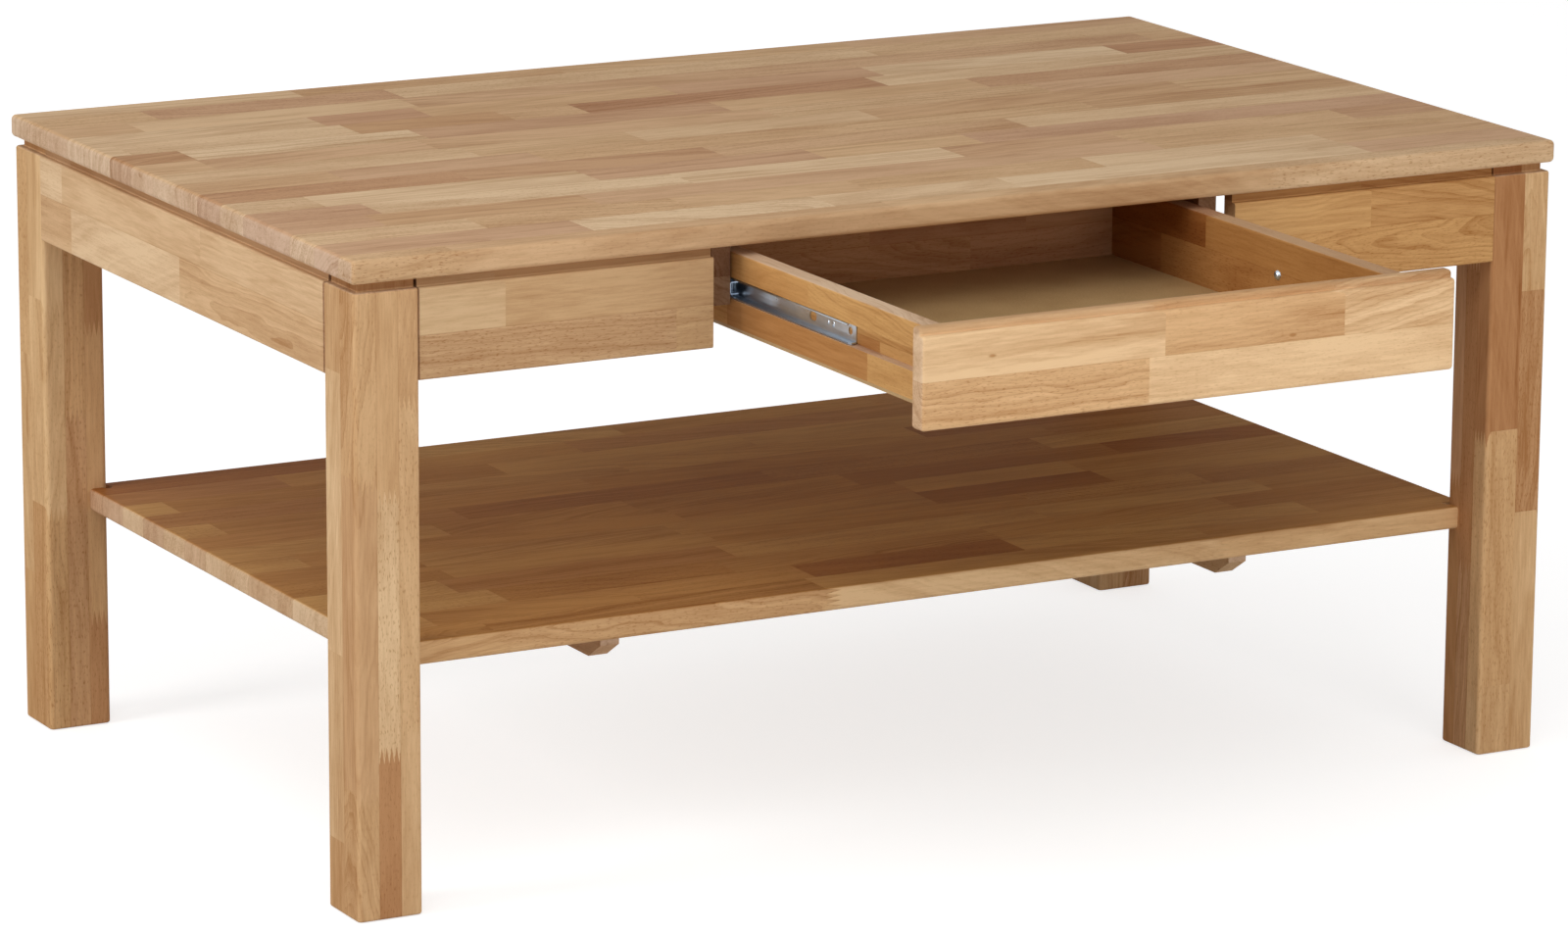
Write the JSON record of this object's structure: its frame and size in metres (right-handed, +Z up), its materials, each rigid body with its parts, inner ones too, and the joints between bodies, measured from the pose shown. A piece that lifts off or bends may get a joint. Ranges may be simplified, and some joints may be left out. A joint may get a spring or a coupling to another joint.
{
  "type": "coffee table with drawer",
  "caption": "Rectangular solid-wood coffee table with square legs, a notched low shelf and a wide shallow drawer on ball slides, shown drawn out under the top.",
  "frame": {"origin": "on the floor, under the middle of the outline with the drawer drawn out", "axes": "+X along the table's length, -Y towards the drawer front, +Z up"},
  "size_m": [1.05, 0.9574, 0.5],
  "materials": {
    "oiled_beech": "oiled, satin",
    "hardboard": "smooth tan panel",
    "zinc_plated_steel": "zinc plated",
    "bearing_steel": "polished"
  },
  "bodies": {
    "table": {"table_top": "oiled_beech", "leg_front_left": "oiled_beech", "leg_front_right": "oiled_beech", "leg_back_left": "oiled_beech", "leg_back_right": "oiled_beech", "side_apron_left": "oiled_beech", "side_apron_right": "oiled_beech", "front_apron_left": "oiled_beech", "front_apron_right": "oiled_beech", "back_apron": "oiled_beech", "shelf": "oiled_beech", "shelf_batten_left": "oiled_beech", "shelf_batten_right": "oiled_beech", "drawer_rail_left": "oiled_beech", "drawer_rail_right": "oiled_beech", "corner_block_front_left": "oiled_beech", "corner_block_front_right": "oiled_beech", "corner_block_back_left": "oiled_beech", "corner_block_back_right": "oiled_beech", "apron_dowels": "oiled_beech", "shelf_dowels": "oiled_beech", "corner_washers": "zinc_plated_steel", "corner_nuts": "zinc_plated_steel", "hanger_bolts": "zinc_plated_steel", "corner_block_screws": "zinc_plated_steel", "top_brackets": "zinc_plated_steel", "top_bracket_screws": "zinc_plated_steel", "rail_screws": "zinc_plated_steel", "batten_screws": "zinc_plated_steel", "cabinet_member_screws": "zinc_plated_steel", "slide_cabinet_member_left": "zinc_plated_steel", "slide_cabinet_member_right": "zinc_plated_steel"},
    "drawer": {"drawer_front": "oiled_beech", "drawer_side_left": "oiled_beech", "drawer_side_right": "oiled_beech", "drawer_back": "oiled_beech", "drawer_bottom": "hardboard", "drawer_front_dowels": "oiled_beech", "drawer_back_screws": "zinc_plated_steel", "drawer_bottom_screws": "zinc_plated_steel", "drawer_member_bolts": "zinc_plated_steel", "drawer_member_screws": "zinc_plated_steel", "slide_drawer_member_left": "zinc_plated_steel", "slide_drawer_member_right": "zinc_plated_steel"},
    "cage_left": {"ball_cage_left": "zinc_plated_steel", "slide_balls_left": "bearing_steel"},
    "cage_right": {"ball_cage_right": "zinc_plated_steel", "slide_balls_right": "bearing_steel"}
  },
  "joints": [
    {"name": "drawer_slide", "type": "slide", "parent": "table", "child": "drawer", "axis": [0, -1, 0], "range_m": [-0.31, 0]},
    {"name": "cage_left_roll", "type": "slide", "parent": "table", "child": "cage_left", "axis": [0, -1, 0], "range_m": [-0.155, 0]},
    {"name": "cage_right_roll", "type": "slide", "parent": "table", "child": "cage_right", "axis": [0, -1, 0], "range_m": [-0.155, 0]}
  ],
  "couplings": [
    {"joint": "cage_left_roll", "follows": "drawer_slide", "ratio": 0.5},
    {"joint": "cage_right_roll", "follows": "drawer_slide", "ratio": 0.5}
  ]
}
